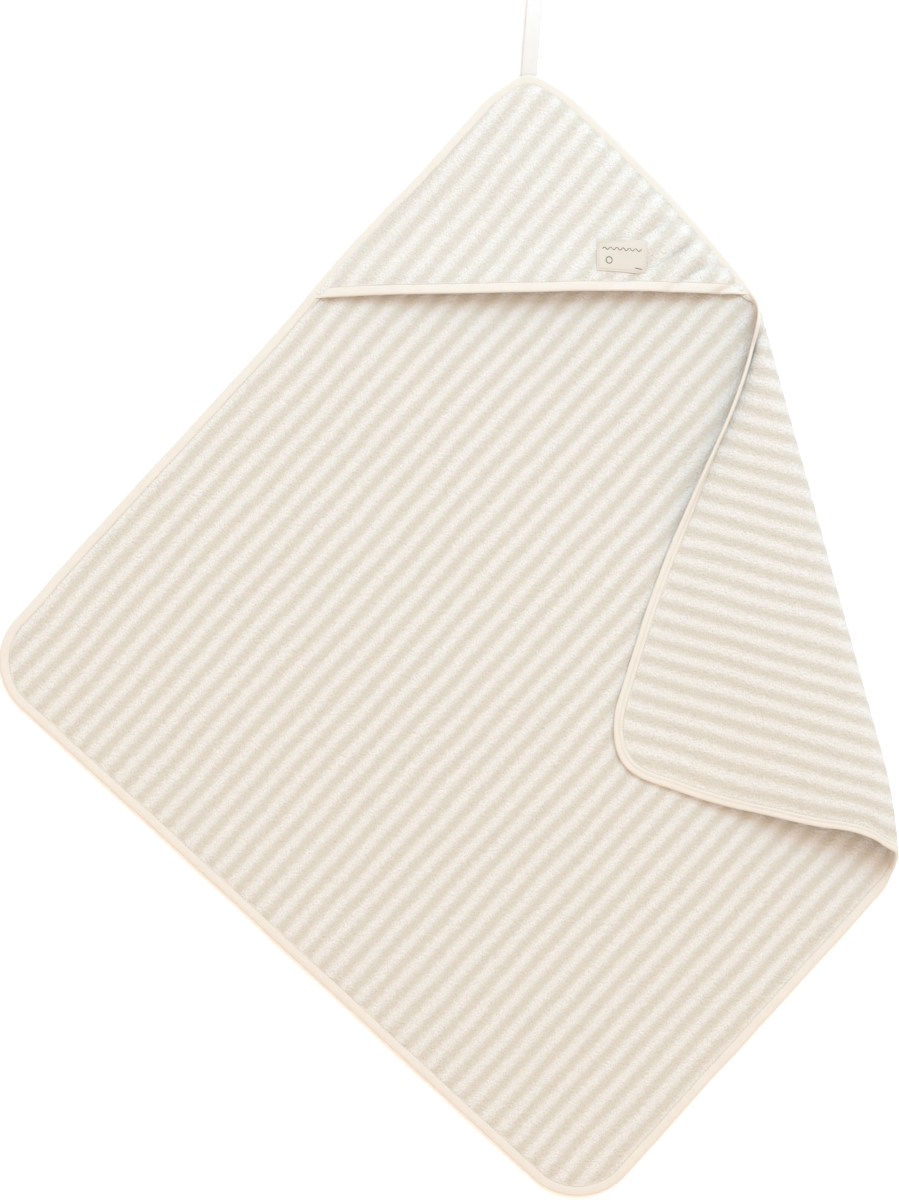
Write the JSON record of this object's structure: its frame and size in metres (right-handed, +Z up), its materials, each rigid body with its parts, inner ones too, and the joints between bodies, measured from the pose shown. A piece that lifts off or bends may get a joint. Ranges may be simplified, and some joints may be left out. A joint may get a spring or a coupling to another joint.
{
  "type": "hooded baby towel",
  "caption": "Square striped terry baby towel with a sewn corner hood, bound edges and a hanging loop, lying flat with one corner folded over.",
  "frame": {"origin": "on the floor under the middle of the lying towel", "axes": "+Z up off the floor, +Y towards the hood and the hanging loop, +X towards the folded corner"},
  "size_m": [0.8836, 1.1759, 0.0335],
  "materials": {
    "striped_terry": "looped terry pile, beige stripes on off-white",
    "cream_binding": "matte knitted cotton tape",
    "cream_thread": "matte cotton thread",
    "label_cotton": "flat woven cotton",
    "white_loop_tape": "matte woven tape"
  },
  "bodies": {
    "towel": {"body_panel": "striped_terry", "fold_roll": "striped_terry", "edge_binding": "cream_binding", "edge_stitching": "cream_thread", "fold_open_end_binding": "cream_binding", "fold_hood_end_binding": "cream_binding"},
    "corner": {"corner_panel": "striped_terry", "corner_binding": "cream_binding", "corner_stitching": "cream_thread"},
    "hood": {"hood_panel": "striped_terry", "hood_edge_binding": "cream_binding", "hood_edge_stitching": "cream_thread", "hood_label": "label_cotton", "label_stitching": "cream_thread"},
    "loop": {"hanging_loop": "white_loop_tape"}
  },
  "joints": [
    {"name": "corner_fold", "type": "hinge", "parent": "towel", "child": "corner", "pos_m": [0.36279, 0.02619, 0.01228], "axis": [-0.2617, 0.965, -0.0161], "range_deg": [0, 176], "deforming": ["fold_roll", "fold_open_end_binding", "fold_hood_end_binding"]},
    {"name": "hood_lift", "type": "hinge", "parent": "towel", "child": "hood", "pos_m": [0.07265, 0.49911, 0.0043], "axis": [-0.9989, -0.0471, 0], "range_deg": [0, 12]},
    {"name": "loop_swing", "type": "hinge", "parent": "towel", "child": "loop", "pos_m": [0.07299, 0.49265, 0.0043], "axis": [0.9969, -0.0785, 0], "range_deg": [0, 130]}
  ]
}
